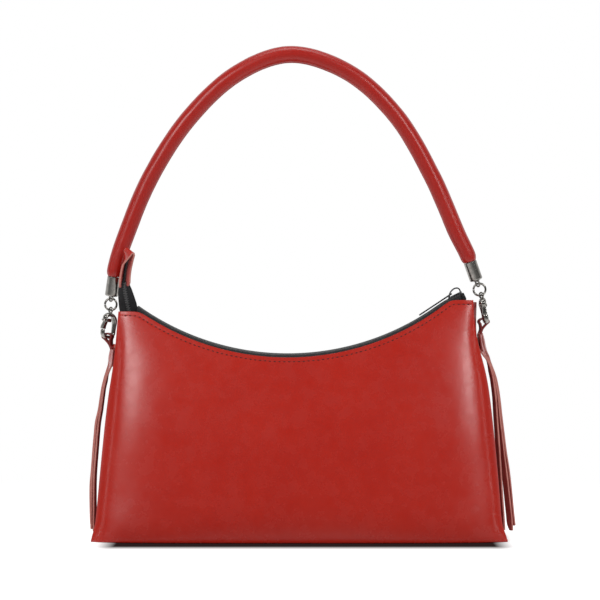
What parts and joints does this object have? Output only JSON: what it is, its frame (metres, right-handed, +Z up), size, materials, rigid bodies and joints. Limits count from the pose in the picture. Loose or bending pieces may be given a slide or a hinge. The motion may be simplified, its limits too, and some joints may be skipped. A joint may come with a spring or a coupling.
{
  "type": "baguette bag",
  "caption": "Soft leather shoulder bag with a curved zip top and a rolled handle that swings on trigger clasps and rings.",
  "frame": {"origin": "centre of the base, on the surface that the bag stands on", "axes": "+Z up, +X along the bag to the right of its front, -Y towards the front"},
  "size_m": [0.3111, 0.086, 0.359],
  "materials": {
    "red_leather": "smooth, semi-gloss, fine grain",
    "cut_leather": "cut strips, matt grain with pale raw edges",
    "lining": "plain dark lining cloth",
    "zip_tape": "black woven tape",
    "zip_coil": "black nylon coil",
    "gunmetal": "dark plated, polished",
    "board": "grey stiffening board",
    "cord": "cotton cord filler"
  },
  "bodies": {
    "root": {"front_panel": "red_leather", "back_panel": "red_leather", "base_panel": "red_leather", "left_gusset": "red_leather", "right_gusset": "red_leather", "base_board": "board", "base_lining": "lining", "front_lining": "lining", "back_lining": "lining", "left_lining": "lining", "right_lining": "lining", "inner_pocket": "lining", "zip_tape_front": "zip_tape", "zip_tape_back": "zip_tape", "zip_coil_front": "zip_coil", "zip_coil_back": "zip_coil", "zip_tape_end": "zip_tape", "left_side_tab": "cut_leather", "right_side_tab": "cut_leather"},
    "slider": {"zip_slider": "gunmetal"},
    "pull": {"zip_pull": "gunmetal"},
    "zip_tail": {"zip_tail_tape": "zip_tape", "zip_tail_tab": "red_leather"},
    "left_clasp": {"left_clasp_body": "gunmetal", "left_gate_pin": "gunmetal"},
    "left_clasp_gate": {"left_gate": "gunmetal"},
    "left_link": {"left_ring": "gunmetal"},
    "handle": {"handle_cover": "red_leather", "handle_core": "cord", "left_end_cap": "gunmetal", "right_end_cap": "gunmetal"},
    "right_link": {"right_ring": "gunmetal"},
    "right_clasp": {"right_clasp_body": "gunmetal", "right_gate_pin": "gunmetal"},
    "right_clasp_gate": {"right_gate": "gunmetal"},
    "left_front_strip": {"left_strip_1": "cut_leather"},
    "left_middle_strip": {"left_strip_2": "cut_leather"},
    "left_back_strip": {"left_strip_3": "cut_leather"},
    "right_front_strip": {"right_strip_1": "cut_leather"},
    "right_middle_strip": {"right_strip_2": "cut_leather"},
    "right_back_strip": {"right_strip_3": "cut_leather"}
  },
  "joints": [
    {"name": "zip_slide", "type": "hinge", "parent": "root", "child": "slider", "pos_m": [-0.0094, 0, 0.3217], "axis": [0, 1, 0], "range_deg": [0, 62], "deforming": ["zip_coil_front", "zip_coil_back", "zip_tape_front", "zip_tape_back"]},
    {"name": "pull_flip", "type": "hinge", "parent": "slider", "child": "pull", "pos_m": [0.10684, 0, 0.17845], "axis": [0, 1, 0], "range_deg": [0, 125]},
    {"name": "zip_tail_bend", "type": "hinge", "parent": "root", "child": "zip_tail", "pos_m": [-0.11911, 0, 0.16965], "axis": [0, 1, 0], "range_deg": [0, 50]},
    {"name": "left_clasp_swing", "type": "hinge", "parent": "root", "child": "left_clasp", "pos_m": [-0.1412, 0, 0.1511], "axis": [0.9992, 0, 0.0401], "range_deg": [-15, 15]},
    {"name": "left_gate_press", "type": "hinge", "parent": "left_clasp", "child": "left_clasp_gate", "pos_m": [-0.14215, -0.00226, 0.15859], "axis": [0.6959, -0.7071, -0.1252], "range_deg": [0, 25], "stiffness_Nm_per_rad": 0.004, "springref_deg": -17.19},
    {"name": "left_link_swing", "type": "hinge", "parent": "left_clasp", "child": "left_link", "pos_m": [-0.1386, 0, 0.16557], "axis": [0.9992, 0, 0.0401], "range_deg": [-30, 30]},
    {"name": "handle_swing", "type": "hinge", "parent": "left_link", "child": "handle", "pos_m": [-0.13834, 0, 0.17408], "axis": [0.9992, 0, 0.0401], "range_deg": [-45, 45]},
    {"name": "right_link_swing", "type": "hinge", "parent": "handle", "child": "right_link", "pos_m": [0.12933, 0, 0.18484], "axis": [0.9992, 0, 0.0401], "range_deg": [-45, 45]},
    {"name": "right_clasp_swing", "type": "hinge", "parent": "right_link", "child": "right_clasp", "pos_m": [0.13195, 0, 0.17643], "axis": [0.9992, 0, 0.0401], "range_deg": [-30, 30]},
    {"name": "right_gate_press", "type": "hinge", "parent": "right_clasp", "child": "right_clasp_gate", "pos_m": [0.13386, -0.0032, 0.16918], "axis": [0.9668, 0, 0.2554], "range_deg": [0, 25], "stiffness_Nm_per_rad": 0.004, "springref_deg": -17.19},
    {"name": "left_front_strip_lift", "type": "hinge", "parent": "root", "child": "left_front_strip", "pos_m": [-0.13614, -0.0078, 0.12433], "axis": [0, 1, 0], "range_deg": [0, 45]},
    {"name": "left_middle_strip_lift", "type": "hinge", "parent": "root", "child": "left_middle_strip", "pos_m": [-0.13614, 0, 0.12433], "axis": [0, 1, 0], "range_deg": [0, 45]},
    {"name": "left_back_strip_lift", "type": "hinge", "parent": "root", "child": "left_back_strip", "pos_m": [-0.13614, 0.0078, 0.12433], "axis": [0, 1, 0], "range_deg": [0, 45]},
    {"name": "right_front_strip_lift", "type": "hinge", "parent": "root", "child": "right_front_strip", "pos_m": [0.13423, -0.0078, 0.13554], "axis": [0, -1, 0], "range_deg": [0, 45]},
    {"name": "right_middle_strip_lift", "type": "hinge", "parent": "root", "child": "right_middle_strip", "pos_m": [0.13423, 0, 0.13554], "axis": [0, -1, 0], "range_deg": [0, 45]},
    {"name": "right_back_strip_lift", "type": "hinge", "parent": "root", "child": "right_back_strip", "pos_m": [0.13423, 0.0078, 0.13554], "axis": [0, -1, 0], "range_deg": [0, 45]}
  ],
  "couplings": [
    {"joint": "right_link_swing", "follows": "handle_swing", "ratio": -1},
    {"joint": "right_clasp_swing", "follows": "left_link_swing", "ratio": -1}
  ]
}
